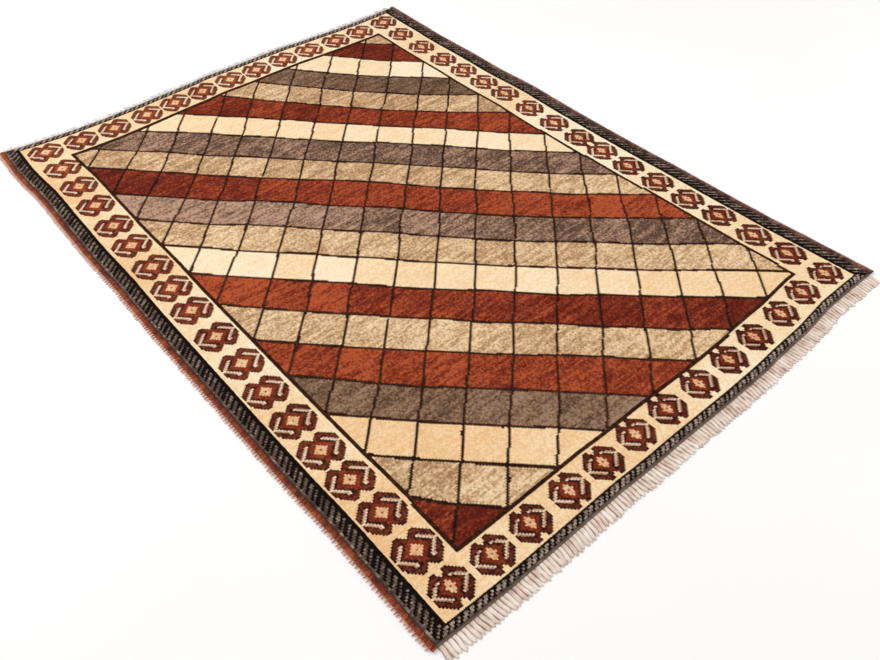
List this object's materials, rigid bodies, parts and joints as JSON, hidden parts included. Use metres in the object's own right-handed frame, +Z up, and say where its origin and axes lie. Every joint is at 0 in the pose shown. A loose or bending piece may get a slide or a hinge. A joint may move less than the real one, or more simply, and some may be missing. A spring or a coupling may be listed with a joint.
{
  "type": "gabbeh rug",
  "caption": "Hand-knotted wool gabbeh rug lying flat, with overcast side cords and a short warp fringe at both ends.",
  "frame": {"origin": "on the floor under the middle of the rug's outline, fringes included", "axes": "+Y along the length towards the far fringe, +X across the width towards the brown side cord, +Z up"},
  "size_m": [1.5058, 2.0466, 0.0105],
  "materials": {
    "wool_pile": "matte",
    "rust_yarn": "matte",
    "brown_yarn": "matte",
    "pale_warp": "matte",
    "grey_warp": "matte"
  },
  "bodies": {
    "root": {"rug_pile": "wool_pile", "selvedge_left": "rust_yarn", "selvedge_right": "brown_yarn", "fringe_near": "pale_warp", "fringe_far": "grey_warp"}
  },
  "joints": []
}
